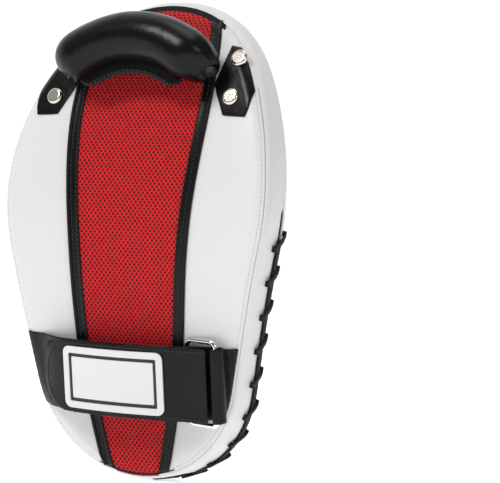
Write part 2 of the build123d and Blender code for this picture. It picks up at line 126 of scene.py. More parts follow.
def backY(z):
    z = np.asarray(z, float)
    lower, angle = pad["lowerBack"], math.radians(pad["lowerAngle"])
    bend = -lower * math.sin(angle)
    upperY = pad["curl"] - np.sqrt(pad["curl"] ** 2 - np.clip(z, 0, None) ** 2)
    lowerY = lower - np.sqrt(lower ** 2 - np.clip(z, bend, 0) ** 2)
    return upperY + lowerY + np.clip(bend - z, 0, None) * math.tan(angle)


def faceY(z):
    z = np.asarray(z, float)
    radius = np.where(z >= 0, pad["faceTop"], pad["faceBottom"])
    return pad["thickness"] + radius - np.sqrt(radius ** 2 - z ** 2)


# how far in from the outline each point is, and the way out there
def rimDistance(points):
    found = [rimTree.find((x, 0, z))[1] for x, z in points[:, (0, 2)]]
    out = rimOut[found]
    return ((rimPoints[found] - points[:, (0, 2)]) * out).sum(axis=1), out


# round the pad's edges: move points of the square-edged shape to the padded one
def soften(points):
    points = np.array(points, float)
    inset, out = rimDistance(points)
    z = points[:, 2].copy()
    share = np.clip((z - pad["bottom"]) / (pad["top"] - pad["bottom"]), 0, 1)
    backDrop = soft["backDropLow"] + (soft["backDropHigh"] - soft["backDropLow"]) * share ** 1.5
    fromBack = points[:, 1] - backY(z)
    fromFace = faceY(z) - points[:, 1]
    shift = np.zeros(len(points))
    rise = np.zeros(len(points))
    for reach, drop, depth, sign in (
        (soft["backReach"], backDrop, fromBack, 1),
        (soft["faceReach"], soft["faceDrop"], fromFace, -1),
    ):
        u = np.clip(1 - inset / reach, 0, 1)
        v = np.clip(1 - depth / drop, 0, 1)
        shift += reach * u * (1 - np.sqrt(1 - v * v / 2))
        rise += sign * drop * v * (1 - np.sqrt(1 - u * u / 2))
    bulge = np.clip(4 * fromBack * fromFace / (fromBack + fromFace) ** 2, 0, 1)
    shift -= soft["wallBulge"] * bulge * np.clip(1 - inset / 0.01, 0, 1)
    points[:, 0] -= out[:, 0] * shift
    points[:, 2] -= out[:, 1] * shift
    points[:, 1] += rise
    return points


# meshes
def makeMesh(name, points, faces, material, smooth=True):
    mesh = bpy.data.meshes.new(name)
    mesh.from_pydata([tuple(p) for p in points], [], faces)
    mesh.validate()
    mesh.update()
    obj = bpy.data.objects.new(name, mesh)
    collection.objects.link(obj)
    mesh.materials.append(material)
    if smooth:
        mesh.shade_smooth()
    return obj


def faceOutward(obj):
    bm = bmesh.new()
    bm.from_mesh(obj.data)
    bmesh.ops.remove_doubles(bm, verts=bm.verts, dist=1e-6)
    bmesh.ops.recalc_face_normals(bm, faces=bm.faces)
    bm.to_mesh(obj.data)
    bm.free()
    return obj


# a closed thin piece from two grids of points; wrap joins the rows' ends
def shell(name, outer, inner, material, wrap=False):
    rows, columns = outer.shape[:2]
    points = np.vstack([outer.reshape(-1, 3), inner.reshape(-1, 3)])
    size = rows * columns
    faces = []
    lastRow = rows if wrap else rows - 1
    for i in range(lastRow):
        k = (i + 1) % rows
        for j in range(columns - 1):
            a, b, c, d = i * columns + j, i * columns + j + 1, k * columns + j + 1, k * columns + j
            faces.append((a, b, c, d))
            faces.append((size + d, size + c, size + b, size + a))
        for j in (0, columns - 1):
            a, b = i * columns + j, k * columns + j
            faces.append((a, b, size + b, size + a))
    if not wrap:
        for i in (0, rows - 1):
            for j in range(columns - 1):
                a, b = i * columns + j, i * columns + j + 1
                faces.append((a, b, size + b, size + a))
    return faceOutward(makeMesh(name, points, faces, material))


# a round or flattened tube along a path
def tube(name, path, radius, material, sides=10, flat=1.0, closed=False, up=(0, 1, 0)):
    path = np.array(path, float)
    along = np.gradient(path, axis=0)
    if closed:
        along = np.roll(path, -1, axis=0) - np.roll(path, 1, axis=0)
    along /= np.linalg.norm(along, axis=1)[:, None]
    side = np.cross(along, np.array(up, float))
    side /= np.linalg.norm(side, axis=1)[:, None]
    lift = np.cross(side, along)
    radius = np.broadcast_to(np.asarray(radius, float), (len(path),))
    rings = []
    for k in range(sides):
        a = 2 * math.pi * k / sides
        rings.append(path + radius[:, None] * (side * math.cos(a) + lift * math.sin(a) * flat))
    grid = np.stack(rings, axis=1)
    points = grid.reshape(-1, 3)
    faces = []
    rows = len(path)
    for i in range(rows if closed else rows - 1):
        n = (i + 1) % rows
        for k in range(sides):
            m = (k + 1) % sides
            faces.append((i * sides + k, i * sides + m, n * sides + m, n * sides + k))
    if not closed:
        faces.append(tuple(range(sides)))
        faces.append(tuple((rows - 1) * sides + k for k in range(sides)))
    return faceOutward(makeMesh(name, points, faces, material))


# a softened copy of CAD nodes, remeshed evenly
def nodeCopy(name, nodes, material, voxel, smoothing=2, shape=None):
    bm = bmesh.new()
    for node in nodes:
        bm.from_mesh(frame["nodes"][node].data)
    bmesh.ops.remove_doubles(bm, verts=bm.verts, dist=1e-6)
    mesh = bpy.data.meshes.new(name)
    bm.to_mesh(mesh)
    bm.free()
    obj = bpy.data.objects.new(name, mesh)
    collection.objects.link(obj)
    remesh = obj.modifiers.new("remesh", "REMESH")
    remesh.mode = "VOXEL"
    remesh.voxel_size = voxel
    smoother = obj.modifiers.new("smooth", "SMOOTH")
    smoother.iterations = smoothing
    smoother.factor = 0.5
    made = bpy.data.meshes.new_from_object(obj.evaluated_get(bpy.context.evaluated_depsgraph_get()))
    obj.modifiers.clear()
    obj.data = made
    made.materials.clear()
    made.materials.append(material)
    if shape:
        points = np.array([v.co for v in made.vertices], float)
        made.vertices.foreach_set("co", shape(points).astype(np.float32).ravel())
        made.update()
    made.shade_smooth()
    return obj


# materials
def newMaterial(name, color, roughness=0.5, metallic=0.0, specular=0.5, coat=0.0, sheen=0.0):
    material = bpy.data.materials.new(name)
    material.use_nodes = True
    shader = material.node_tree.nodes["Principled BSDF"]
    shader.inputs["Base Color"].default_value = (*color, 1)
    shader.inputs["Roughness"].default_value = roughness
    shader.inputs["Metallic"].default_value = metallic
    shader.inputs["Specular IOR Level"].default_value = specular
    shader.inputs["Coat Weight"].default_value = coat
    shader.inputs["Sheen Weight"].default_value = sheen
    return material, material.node_tree, shader


def addNode(tree, kind, values=None, links=None, **settings):
    node = tree.nodes.new(kind)
    for key, value in settings.items():
        setattr(node, key, value)
    for key, value in (values or {}).items():
        node.inputs[key].default_value = value
    for key, source in (links or {}).items():
        tree.links.new(source, node.inputs[key])
    return node


# leather: a fine grain, soft creases and an uneven tone
def grain(name, color, roughness, fine=900, creases=0.0, bump=0.12, spread=0.06, **more):
    material, tree, shader = newMaterial(name, color, roughness, **more)
    coords = addNode(tree, "ShaderNodeTexCoord").outputs["Object"]
    cells = addNode(tree, "ShaderNodeTexVoronoi", {"Scale": fine}, {"Vector": coords})
    cloud = addNode(tree, "ShaderNodeTexNoise", {"Scale": 14, "Detail": 4}, {"Vector": coords})
    fold = addNode(tree, "ShaderNodeTexNoise", {"Scale": 45, "Detail": 3, "Distortion": 0.6},
                   {"Vector": coords})
    tone = addNode(tree, "ShaderNodeMapRange", {"To Min": 1 - spread, "To Max": 1 + spread},
                   {"Value": cloud.outputs["Fac"]})
    paint = addNode(tree, "ShaderNodeVectorMath", {0: color}, {"Scale": tone.outputs["Result"]},
                    operation="SCALE")
    tree.links.new(paint.outputs["Vector"], shader.inputs["Base Color"])
    rough = addNode(tree, "ShaderNodeMapRange", {"To Min": roughness - 0.06, "To Max": roughness + 0.08},
                    {"Value": fold.outputs["Fac"]})
    tree.links.new(rough.outputs["Result"], shader.inputs["Roughness"])
    first = addNode(tree, "ShaderNodeBump", {"Strength": creases, "Distance": 0.004},
                    {"Height": fold.outputs["Fac"]})
    second = addNode(tree, "ShaderNodeBump", {"Strength": bump, "Distance": 0.0004},
                     {"Height": cells.outputs["Distance"], "Normal": first.outputs["Normal"]})
    tree.links.new(second.outputs["Normal"], shader.inputs["Normal"])
    return material


# webbing and lace: ribs along one direction, crossed by finer threads
def woven(name, color, roughness, pitch, direction, depth=0.5):
    material, tree, shader = newMaterial(name, color, roughness, specular=0.2, sheen=0.04)
    coords = addNode(tree, "ShaderNodeTexCoord").outputs["Object"]
    scale = 2 * math.pi / pitch
    waves = []
    for way in (direction, [0.45 * c for c in (direction[2], direction[0], direction[1])]):
        dot = addNode(tree, "ShaderNodeVectorMath", {1: [c * scale for c in way]}, {0: coords},
                      operation="DOT_PRODUCT")
        waves.append(addNode(tree, "ShaderNodeMath", None, {0: dot.outputs["Value"]}, operation="SINE"))
    both = addNode(tree, "ShaderNodeMath", None, {0: waves[0].outputs[0], 1: waves[1].outputs[0]},
                   operation="ADD")
    lump = addNode(tree, "ShaderNodeBump", {"Strength": depth, "Distance": pitch / 5},
                   {"Height": both.outputs[0]})
    tree.links.new(lump.outputs["Normal"], shader.inputs["Normal"])
    # the colour follows the ribs' height: painted shade in the grooves and painted highlight on the crowns
    tone = addNode(tree, "ShaderNodeMapRange",
                   {"From Min": -2, "From Max": 2, "To Min": 0.55, "To Max": 1.6},
                   {"Value": both.outputs[0]})
    paint = addNode(tree, "ShaderNodeVectorMath", {0: color}, {"Scale": tone.outputs["Result"]},
                    operation="SCALE")
    tree.links.new(paint.outputs["Vector"], shader.inputs["Base Color"])
    return material


# red spacer mesh: staggered round holes, not cut in the surface but bumped and painted dark red as painted
# shade inside them
def meshCloth(name, color, holeShade, pitch):
    material, tree, shader = newMaterial(name, color, 0.7, specular=0.2, sheen=0.05)
    coords = addNode(tree, "ShaderNodeTexCoord").outputs["Object"]
    parts = addNode(tree, "ShaderNodeSeparateXYZ", None, {"Vector": coords})
    far = []
    for shift in (0.0, 0.5):
        sums = []
        for axis, step in (("X", pitch), ("Z", pitch * 1.2)):
            cell = addNode(tree, "ShaderNodeMath", {1: 1 / step, 2: shift}, {0: parts.outputs[axis]},
                           operation="MULTIPLY_ADD")
            wrap = addNode(tree, "ShaderNodeMath", {1: 0.5}, {0: cell.outputs[0]}, operation="PINGPONG")
            near = addNode(tree, "ShaderNodeMath", {1: step}, {0: wrap.outputs[0]}, operation="MULTIPLY")
            sums.append(addNode(tree, "ShaderNodeMath", {1: 2.0}, {0: near.outputs[0]}, operation="POWER"))
        total = addNode(tree, "ShaderNodeMath", None, {0: sums[0].outputs[0], 1: sums[1].outputs[0]},
                        operation="ADD")
        far.append(addNode(tree, "ShaderNodeMath", None, {0: total.outputs[0]}, operation="SQRT"))
    nearest = addNode(tree, "ShaderNodeMath", None, {0: far[0].outputs[0], 1: far[1].outputs[0]},
                      operation="MINIMUM")
    edge = addNode(tree, "ShaderNodeMapRange", {"From Min": pitch * 0.19, "From Max": pitch * 0.30},
                   {"Value": nearest.outputs[0]}, interpolation_type="SMOOTHSTEP")
    cloud = addNode(tree, "ShaderNodeTexNoise", {"Scale": 160, "Detail": 3}, {"Vector": coords})
    tone = addNode(tree, "ShaderNodeMapRange", {"To Min": 0.75, "To Max": 1.2},
                   {"Value": cloud.outputs["Fac"]})
    lit = addNode(tree, "ShaderNodeVectorMath", {0: color}, {"Scale": tone.outputs["Result"]},
                  operation="SCALE")
    paint = addNode(tree, "ShaderNodeMix", data_type="RGBA")
    tree.links.new(edge.outputs["Result"], paint.inputs["Factor"])
    # the holes get the painted shade colour, the cloth between them its own red
    paint.inputs[6].default_value = (*holeShade, 1)
    tree.links.new(lit.outputs["Vector"], paint.inputs[7])
    tree.links.new(paint.outputs[2], shader.inputs["Base Color"])
    lump = addNode(tree, "ShaderNodeBump", {"Strength": 0.8, "Distance": 0.0012},
                   {"Height": edge.outputs["Result"]})
    tree.links.new(lump.outputs["Normal"], shader.inputs["Normal"])
    return material


white = grain("whiteLeather", (0.70, 0.685, 0.665), 0.42, creases=0.05, bump=0.10, spread=0.03)
black = grain("blackLeather", (0.0035, 0.0034, 0.0036), 0.33, creases=0.14, bump=0.14, spread=0.3,
              specular=0.2)
gripBlack = grain("gripLeather", (0.0030, 0.0029, 0.0031), 0.27, creases=0.16, bump=0.08, spread=0.3,
                  specular=0.2)
strapBlack = grain("strapLeather", (0.0040, 0.0038, 0.0040), 0.36, creases=0.22, bump=0.16, spread=0.3,
                   specular=0.2)
# the second colour is the painted shade in the mesh holes
red = meshCloth("redMesh", (0.63, 0.010, 0.012), (0.07, 0.002, 0.003), 0.0042)
cloth = woven("blackCloth", (0.012, 0.012, 0.013), 0.9, 0.0016, (1, 0, 1))
webbing = woven("webbing", (0.016, 0.016, 0.017), 0.75, 0.0020, (0, 0, 1), depth=0.8)
laceBlack = woven("laceCloth", (0.010, 0.010, 0.011), 0.7, 0.0016, (0.6, 0.6, 0.8))
pile = grain("pile", (0.015, 0.015, 0.016), 0.95, fine=2200, bump=0.7, spread=0.4)
threadBlack = newMaterial("threadBlack", (0.03, 0.03, 0.032), 0.5, specular=0.4)[0]
threadWhite = newMaterial("threadWhite", (0.58, 0.54, 0.52), 0.6, sheen=0.2)[0]
chrome = grain("chrome", (0.80, 0.81, 0.83), 0.10, fine=300, bump=0.01, spread=0.02, metallic=1.0)
nickel = grain("nickel", (0.66, 0.61, 0.55), 0.22, fine=300, bump=0.03, spread=0.05, metallic=1.0)
labelWhite = grain("labelWhite", (0.71, 0.71, 0.70), 0.45, fine=1200, bump=0.04, spread=0.02)
labelBlack = grain("labelBlack", (0.016, 0.016, 0.017), 0.55, fine=1200, bump=0.15, spread=0.2)
foam = grain("foam", (0.10, 0.10, 0.105), 0.9, fine=1500, bump=0.4)
board = grain("board", (0.16, 0.16, 0.165), 0.6, fine=1200, bump=0.1)
print("materials made")

finishes = {
    "white_leather": white, "black_leather": black, "strap_leather": strapBlack, "red_mesh": red,
    "black_cloth": cloth, "black_webbing": webbing, "black_lace": laceBlack, "hook_and_loop": pile,
    "foam": foam, "grip_foam": foam, "board": board, "chrome_wire": chrome, "nickel": nickel,
    "label_white": labelWhite, "label_black": labelBlack,
}
for part in frame["record"]["subparts"]:
    if part["node"] in frame["nodes"]:
        shown = frame["nodes"][part["node"]]
        for place in shown.material_slots:
            place.material = finishes[part["material_slot"]]

# binding lines
binding = {"stations": ((28, -212), (44.5, -130), (51.5, -60), (57.5, 20), (64, 98), (60, 150), (42, 205)),
           "width": 0.009, "rise": 0.0013, "piping": 0.0017}
bindingFit = np.polyfit([z / 100 for x, z in binding["stations"]], [x for x, z in binding["stations"]], 6)


def bindingX(z):
    return np.polyval(bindingFit, np.asarray(z) * 10) / 1000


halfLoop = len(rimPoints) // 2
rightRim = rimPoints[:halfLoop + 1]


# the two places on the right rim where the binding's line, moved inward, meets it
def meetsRim(inward):
    inside = rightRim[:, 0] > bindingX(rightRim[:, 1]) - inward
    where = np.flatnonzero(inside)
    return where[0], where[-1]


# points on the back, depth metres under its surface
def surface(x, z, depth):
    x, z = np.broadcast_arrays(x, z)
    return np.stack([x, backY(z) + depth, z], axis=-1)


def softGrid(grid):
    return soften(grid.reshape(-1, 3)).reshape(grid.shape)


# back panels
panel = {"rows": 220, "columns": 26, "puff": 0.0016}
firstRim, lastRim = meetsRim(0)
for name, side in (("left", -1), ("right", 1)):
    share = np.linspace(0, 1, panel["rows"])
    at = firstRim + share * (lastRim - firstRim)
    rimX = np.interp(at, range(halfLoop + 1), rightRim[:, 0])
    rimZ = np.interp(at, range(halfLoop + 1), rightRim[:, 1])
    endZ = rimZ[0] + (rimZ[-1] - rimZ[0]) * share
    endX = bindingX(endZ)
    across = np.linspace(0, 1, panel["columns"])[None, :] ** 1.5
    gridX = rimX[:, None] * (1 - across) + endX[:, None] * across
    gridZ = rimZ[:, None] * (1 - across) + endZ[:, None] * across
    puff = panel["puff"] * np.sin(np.pi * np.clip(across, 0, 1)) * np.sin(np.pi * share)[:, None] ** 0.5
    outer = surface(gridX, gridZ, -puff)
    inner = surface(gridX, gridZ, pad["leather"])
    outer, inner = softGrid(outer), softGrid(inner)
    outer[..., 0] *= side
    inner[..., 0] *= side
    piece = shell("backPanel" + name.capitalize(), outer, inner, white)
    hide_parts("back_panel_" + name)
    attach(piece, "pad")
print("back panels made")

# bindings, each a folded strip with a piped outer edge
stitchLines = []     # (body, material, pitch, points)
for name, side in (("left", -1), ("right", 1)):
    topZ = rightRim[meetsRim(0)[0]][1]
    lowZ = rightRim[meetsRim(0)[1]][1]
    rows = np.linspace(lowZ + 0.001, topZ - 0.001, 200)
    across = np.linspace(0, 1, 11)[None, :]
    gridX = bindingX(rows)[:, None] - binding["width"] * across
    gridZ = np.broadcast_to(rows[:, None], gridX.shape)
    crown = binding["rise"] * (1 - (2 * across - 1) ** 6) * (0.75 + 0.25 * np.cos(2 * np.pi * across))
    outer = softGrid(surface(gridX, gridZ, -crown - 0.0002))
    inner = softGrid(surface(gridX, gridZ, 0.001))
    outer[..., 0] *= side
    inner[..., 0] *= side
    piece = shell("binding" + name.capitalize(), outer, inner, black)
    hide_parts("binding_" + name)
    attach(piece, "pad")
    ridge = softGrid(surface(bindingX(rows) + 0.0002, rows, -0.0009))
    ridge[:, 0] *= side
    piping = tube("piping" + name.capitalize(), ridge, binding["piping"], black)
    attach(piping, "pad")
    for share in (0.32, 0.86):
        line = softGrid(surface(bindingX(rows) - binding["width"] * share, rows, -binding["rise"] - 0.0001))
        line[:, 0] *= side
        stitchLines.append(("pad", threadBlack, 0.0036, line[4:-4]))
print("bindings made")

# mesh panel
meshPanel = {"rows": 260, "columns": 90, "sag": 0.0012}
firstIn, lastIn = meetsRim(binding["width"])
topZ, lowZ = rightRim[firstIn][1], rightRim[lastIn][1]
level = np.linspace(0, 1, meshPanel["rows"])
rowZ = topZ + (lowZ - topZ) * level
inX = bindingX(rowZ) - binding["width"] + 0.0004
across = np.linspace(-1, 1, meshPanel["columns"])
gridX = inX[:, None] * across[None, :]
topArc = np.interp(np.abs(gridX), rightRim[:firstIn + 200, 0], rightRim[:firstIn + 200, 1])
lowArc = np.interp(np.abs(gridX), rightRim[::-1][:halfLoop - lastIn + 200, 0],
                   rightRim[::-1][:halfLoop - lastIn + 200, 1])
towardsTop = np.clip(1 - level * 4, 0, 1)[:, None] ** 2
towardsLow = np.clip(level * 4 - 3, 0, 1)[:, None] ** 2
gridZ = rowZ[:, None] + towardsTop * (topArc - topZ) + towardsLow * (lowArc - lowZ)
sag = meshPanel["sag"] * (1 - across[None, :] ** 2) * np.sin(np.pi * level)[:, None]
outer = softGrid(surface(gridX, gridZ, sag))
inner = softGrid(surface(gridX, gridZ, sag + 0.0012))
redPiece = shell("meshPanel", outer, inner, red)
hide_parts("mesh_panel")
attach(redPiece, "pad")
print("mesh panel made")

# side wall in two strips, open between them where it is laced
wall = {"rows": 900, "columns": 16, "gap": 0.0025, "lacedTop": 0.020, "lacedEnd": -0.042, "lacing": 0.62,
        "skin": 0.0014, "fade": 0.0012}
pick = np.linspace(0, len(rimPoints), wall["rows"], endpoint=False).astype(int)
loop, loopOut = rimPoints[pick], rimOut[pick]
zs = loop[:, 1]
depthThrough = faceY(zs) - backY(zs)
lacedBelow = 1 / (1 + np.exp((zs - wall["lacedTop"]) / wall["fade"]))
laced = lacedBelow / (1 + np.exp((wall["lacedEnd"] - loop[:, 0]) / wall["fade"]))
gap = wall["gap"] * laced
lacingDepth = wall["lacing"] * depthThrough


def wallStrip(name, fromDepth, toDepth, inset, thickness, material):
    share = np.linspace(0, 1, wall["columns"])[None, :]
    depth = fromDepth[:, None] * (1 - share) + toDepth[:, None] * share
    grids = []
    for step in (inset, inset + thickness):
        x = (loop[:, 0] - loopOut[:, 0] * step)[:, None] + 0 * depth
        z = (loop[:, 1] - loopOut[:, 1] * step)[:, None] + 0 * depth
        y = backY(zs)[:, None] + depth
        grids.append(softGrid(np.stack([x, y, z], axis=-1)))
    return shell(name, grids[0], grids[1], material, wrap=True)


backStrip = wallStrip("wallBack", 0 * zs + 0.0001, lacingDepth - gap, 0, wall["skin"], white)
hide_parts("wall_back_strip", "side_wall")
faceStrip = wallStrip("wallFace", lacingDepth + gap + 0.0001, depthThrough - pad["skirt"] + 0.001, 0,
                      wall["skin"], white)
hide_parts("wall_face_strip")
under = wallStrip("lacingUnderlay", lacingDepth - 0.012, lacingDepth + 0.010, 0.0016, 0.001, cloth)
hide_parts("lacing_underlay")
for piece, slotName in ((backStrip, "white_leather"), (faceStrip, "white_leather"), (under, "black_cloth")):
    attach(piece, "pad")
print("side wall made")

# striking cover
cover = {"rows": 600}
pick = np.linspace(0, len(rimPoints), cover["rows"], endpoint=False).astype(int)
ring, ringOut = rimPoints[pick], rimOut[pick]
centre = np.array([0.0, -0.01])
insets = np.concatenate([np.linspace(0.95, 0.22, 14), np.geomspace(0.18, 0.004, 20), [0.0]])
profile = []
for inset in insets:
    flat = centre + (ring - centre) * (1 - inset)
    profile.append(np.stack([flat[:, 0], faceY(flat[:, 1]), flat[:, 1]], axis=1))
for depth in np.linspace(0.001, pad["skirt"], 7):
    profile.append(np.stack([ring[:, 0], faceY(ring[:, 1]) - depth, ring[:, 1]], axis=1))
insideRing = ring - ringOut * pad["leather"]
for depth in (pad["skirt"], pad["leather"]):
    profile.append(np.stack([insideRing[:, 0], faceY(ring[:, 1]) - depth, insideRing[:, 1]], axis=1))
for inset in insets[::-1][1:]:
    flat = centre + (insideRing - centre) * (1 - inset)
    profile.append(np.stack([flat[:, 0], faceY(flat[:, 1]) - pad["leather"], flat[:, 1]], axis=1))
grid = np.stack(profile)
rings, rows = grid.shape[:2]
points = soften(grid.reshape(-1, 3))
faces = []
for i in range(rings - 1):
    for j in range(rows):
        k = (j + 1) % rows
        faces.append((i * rows + j, i * rows + k, (i + 1) * rows + k, (i + 1) * rows + j))
faces.append(tuple(range(rows)))
faces.append(tuple((rings - 1) * rows + j for j in range(rows)))
strikingCover = faceOutward(makeMesh("strikingCover", points, faces, black))
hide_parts("striking_cover")
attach(strikingCover, "pad")
print("striking cover made")

# the foam stays sealed inside the softened shell
for node in ("back_foam", "middle_foam", "front_foam"):
    voxelFoam = nodeCopy(node.split("_")[0] + "Foam", [node], foam, 0.004, shape=soften)
    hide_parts(node)
    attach(voxelFoam, "pad")

# seam stitches along the back panels' outer edges
seam = {"inset": 0.0022, "pitch": 0.0036, "endSkip": 8}
seamFirst, seamLast = meetsRim(0)[0] + seam["endSkip"], meetsRim(0)[1] - seam["endSkip"]
for side in (-1, 1):
    rimPath = rightRim[seamFirst:seamLast]
    outs = rimOut[:halfLoop + 1][seamFirst:seamLast]
    inX = rimPath[:, 0] - outs[:, 0] * seam["inset"]
    inZ = rimPath[:, 1] - outs[:, 1] * seam["inset"]
    line = softGrid(surface(inX, inZ, -0.0002))
    line[:, 0] *= side
    stitchLines.append(("pad", threadWhite, seam["pitch"], line[::4]))

# grip: a padded roll on webbing with a stitched flange
grip = {"radius": 0.021, "halfSpan": 0.067, "rise": 0.0285, "endY": 0.0, "endZ": 0.127, "lean": -8,
        "swell": 0.0009, "flange": 0.009, "closing": 0.026, "squeeze": 0.72, "webbing": 0.022}
lean = math.radians(grip["lean"])
gripUp = Vector((0, -math.sin(lean), math.cos(lean)))
gripOut = Vector((0, -math.cos(lean), -math.sin(lean)))
gripEnd = Vector((0, grip["endY"], grip["endZ"]))
arch = (grip["halfSpan"] ** 2 + grip["rise"] ** 2) / (2 * grip["rise"])
halfAngle = math.asin(grip["halfSpan"] / arch)


# a place on the grip's middle line, and the way out from the arch's centre
def gripFrame(angle):
    height = arch * math.cos(angle) + grip["rise"] - arch
    spot = Vector((1, 0, 0)) * arch * math.sin(angle) + gripUp * height
    away = Vector((1, 0, 0)) * math.sin(angle) + gripUp * math.cos(angle)
    return gripEnd + spot, away


def gripClosing(angle):
    toEnd = (halfAngle - abs(angle)) * arch
    close = max(0, 1 - toEnd / grip["closing"])
    shrink = grip["radius"] * (1 - math.sqrt(1 - grip["squeeze"] * close ** 2.4))
    return shrink, 0.8 * shrink, close   # how much thinner, how far it dips, how near its end


def gripAngles(count):
    return [halfAngle * math.sin(u) for u in np.linspace(-math.pi / 2, math.pi / 2, count)]


def gripTube(name, rings, material):
    sides = len(rings[0])
    points = [p for r in rings for p in r]
    faces = [tuple(range(sides)), tuple((len(rings) - 1) * sides + k for k in range(sides))]
    for i in range(len(rings) - 1):
        for k in range(sides):
            m = (k + 1) % sides
            faces.append((i * sides + k, i * sides + m, (i + 1) * sides + m, (i + 1) * sides + k))
    return faceOutward(makeMesh(name, points, faces, material))


def gripRoll(name, inset, lively, material):
    sides = 72
    rings = []
    for angle in gripAngles(190):
        shrink, dip, close = gripClosing(angle)
        spot, away = gripFrame(angle)
        ringPoints = []
        for k in range(sides):
            a = 2 * math.pi * k / sides
            place = Vector((angle * arch, grip["radius"] * math.cos(a), grip["radius"] * math.sin(a)))
            fold = noise.noise(Vector((place.x * 40, place.y * 150, place.z * 150)))
            wide = noise.noise(Vector((place.x * 28 + 5, place.y * 35, place.z * 35)))
            pinch = max(0, -math.cos(a)) ** 6 * 0.0014
            radius = grip["radius"] - shrink - inset - pinch
            radius += lively * (grip["swell"] * (wide * 0.8 + fold * 1.3 * close) - 0.0004)
            ringPoints.append(spot - gripOut * dip + (away * math.cos(a) + gripOut * math.sin(a)) * radius)
        rings.append(ringPoints)
    return gripTube(name, rings, material)


def gripWebbing():
    rings = []
    for angle in gripAngles(80):
        dip, close = gripClosing(angle)[1:]
        spot, away = gripFrame(angle)
        middle = spot - gripOut * dip
        half = grip["webbing"] / 2 * (1 - 0.42 * close)
        rings.append([middle + away * u * 0.0011 + gripOut * v * half
                      for u, v in ((-1, -1), (1, -1), (1, 0), (1, 1), (-1, 1), (-1, 0))])
    return gripTube("gripWebbing", rings, webbing)


roll = gripRoll("gripRoll", 0, 1, gripBlack)
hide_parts("grip_cover")
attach(roll, "grip")
core = gripRoll("gripCore", 0.0024, 0, foam)
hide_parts("grip_core")
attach(core, "grip")
band = gripWebbing()
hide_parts("grip_webbing")
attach(band, "grip")
flangeSize = {"half": 0.0014, "share": 0.86, "rows": 90, "ripple": 0.0006, "sewIn": 0.0028}
flangeReach = halfAngle * flangeSize["share"]
flangeSpan = np.linspace(-flangeReach, flangeReach, flangeSize["rows"])
flangeOuter, flangeInner, flangeLine = [], [], []
for angle in flangeSpan:
    spot, away = gripFrame(angle)
    taperEnd = min(1, (1 - abs(angle) / flangeReach) * 6) ** 0.5
    heights = np.linspace(grip["radius"] - 0.003, grip["radius"] + grip["flange"] * taperEnd, 8)
    wave = flangeSize["ripple"] * noise.noise(Vector((angle * 30, 0, 0)))
    halves = [flangeSize["half"] * (1 - (k / 7) ** 6 * 0.7) for k in range(len(heights))]
    flangeOuter.append([tuple(spot - away * h + gripOut * (t + wave)) for h, t in zip(heights, halves)])
    flangeInner.append([tuple(spot - away * h - gripOut * (t - wave)) for h, t in zip(heights, halves)])
    if taperEnd > 0.9:
        sewAt = grip["radius"] + grip["flange"] - flangeSize["sewIn"]
        flangeLine.append(tuple(spot - away * sewAt + gripOut * 0.0016))
flange = shell("gripFlange", np.array(flangeOuter), np.array(flangeInner), gripBlack)
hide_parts("grip_flange")
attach(flange, "grip")
stitchLines.append(("grip", threadBlack, 0.0034, np.array(flangeLine)))
print("grip made")

# tabs that hold the grip, following the rounded shoulder
for name in ("left", "right"):
    tab = nodeCopy("gripTab" + name.capitalize(), ["grip_tab_" + name], gripBlack, 0.0008, shape=soften)
    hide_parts("grip_tab_" + name)
    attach(tab, "pad")

# strap, with its fold and keeper
lower = nodeCopy("strapLower", ["strap_lower"], strapBlack, 0.0008, shape=soften)
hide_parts("strap_lower")
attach(lower, "pad")
keeper = nodeCopy("ringKeeper", ["ring_keeper"], webbing, 0.0008, shape=soften)
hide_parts("ring_keeper")
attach(keeper, "pad")
upper = nodeCopy("strapUpper", ["strap_upper", "strap_fold"], strapBlack, 0.0008)
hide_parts("strap_upper", "strap_fold")
lace = nodeCopy("laceRun", ["lace"], laceBlack, 0.0006, smoothing=3, shape=soften)
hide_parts("lace")
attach(lace, "pad")
print("straps made")


# stitches
def stitchTree():
    tree = bpy.data.node_groups.new("stitchTree", "GeometryNodeTree")
    face = tree.interface
    face.new_socket("Geometry", in_out="INPUT", socket_type="NodeSocketGeometry")
    for label, value in (("Pitch", 0.0036), ("Length", 0.0026), ("Radius", 0.0004)):
        made = face.new_socket(label, in_out="INPUT", socket_type="NodeSocketFloat")
        made.default_value = value
    face.new_socket("Thread", in_out="INPUT", socket_type="NodeSocketMaterial")
    face.new_socket("Geometry", in_out="OUTPUT", socket_type="NodeSocketGeometry")
    start = tree.nodes.new("NodeGroupInput")
    end = tree.nodes.new("NodeGroupOutput")
    curve = addNode(tree, "GeometryNodeMeshToCurve", None, {"Mesh": start.outputs["Geometry"]})
    even = addNode(tree, "GeometryNodeResampleCurve", None,
                   {"Curve": curve.outputs["Curve"], "Length": start.outputs["Pitch"]}, mode="LENGTH")
    along = addNode(tree, "GeometryNodeInputTangent")
    turn = addNode(tree, "FunctionNodeAlignRotationToVector", None, {"Vector": along.outputs["Tangent"]},
                   axis="Z")
    ball = addNode(tree, "GeometryNodeMeshUVSphere", {"Segments": 8, "Rings": 6, "Radius": 1.0})
    half = addNode(tree, "ShaderNodeMath", {1: 0.5}, {0: start.outputs["Length"]}, operation="MULTIPLY")
    size = addNode(tree, "ShaderNodeCombineXYZ", None,
                   {"X": start.outputs["Radius"], "Y": start.outputs["Radius"], "Z": half.outputs[0]})
    placed = addNode(tree, "GeometryNodeInstanceOnPoints", None,
                     {"Points": even.outputs["Curve"], "Instance": ball.outputs["Mesh"],
                      "Rotation": turn.outputs["Rotation"], "Scale": size.outputs["Vector"]})
    real = addNode(tree, "GeometryNodeRealizeInstances", None, {"Geometry": placed.outputs["Instances"]})
    painted = addNode(tree, "GeometryNodeSetMaterial", None,
                      {"Geometry": real.outputs["Geometry"], "Material": start.outputs["Thread"]})
    tree.links.new(painted.outputs["Geometry"], end.inputs["Geometry"])
    return tree


stitching = stitchTree()
sockets = {item.name: item.identifier for item in stitching.interface.items_tree
           if item.item_type == "SOCKET" and item.in_out == "INPUT"}


